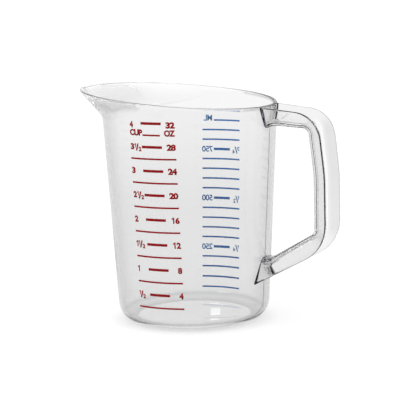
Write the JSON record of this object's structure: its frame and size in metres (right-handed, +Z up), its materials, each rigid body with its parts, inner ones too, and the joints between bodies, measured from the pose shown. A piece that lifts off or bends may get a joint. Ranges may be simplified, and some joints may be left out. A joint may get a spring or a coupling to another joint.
{
  "type": "measuring jug",
  "caption": "Clear plastic quart measuring jug with a broad flared pouring spout, a closed loop handle and printed US and metric scales.",
  "frame": {"origin": "centre of the foot's flat underside, on the axis of the tapered cup", "axes": "+Z up along the cup's axis, +X towards the handle with the spout towards -X, -Y towards the red US scale and +Y towards the blue metric scale"},
  "size_m": [0.1723, 0.1126, 0.1483],
  "materials": {
    "clear_plastic": "gloss",
    "red_ink": "satin",
    "blue_ink": "satin"
  },
  "bodies": {
    "root": {"vessel": "clear_plastic", "handle": "clear_plastic", "us_mark_02oz": "red_ink", "us_mark_04oz": "red_ink", "us_mark_06oz": "red_ink", "us_mark_08oz": "red_ink", "us_mark_10oz": "red_ink", "us_mark_12oz": "red_ink", "us_mark_14oz": "red_ink", "us_mark_16oz": "red_ink", "us_mark_18oz": "red_ink", "us_mark_20oz": "red_ink", "us_mark_22oz": "red_ink", "us_mark_24oz": "red_ink", "us_mark_26oz": "red_ink", "us_mark_28oz": "red_ink", "us_mark_30oz": "red_ink", "us_mark_32oz": "red_ink", "metric_mark_050ml": "blue_ink", "metric_mark_100ml": "blue_ink", "metric_mark_150ml": "blue_ink", "metric_mark_200ml": "blue_ink", "metric_mark_250ml": "blue_ink", "metric_mark_300ml": "blue_ink", "metric_mark_350ml": "blue_ink", "metric_mark_400ml": "blue_ink", "metric_mark_450ml": "blue_ink", "metric_mark_500ml": "blue_ink", "metric_mark_550ml": "blue_ink", "metric_mark_600ml": "blue_ink", "metric_mark_650ml": "blue_ink", "metric_mark_700ml": "blue_ink", "metric_mark_750ml": "blue_ink", "metric_mark_800ml": "blue_ink", "metric_mark_850ml": "blue_ink", "metric_mark_900ml": "blue_ink", "metric_mark_950ml": "blue_ink"}
  },
  "joints": []
}
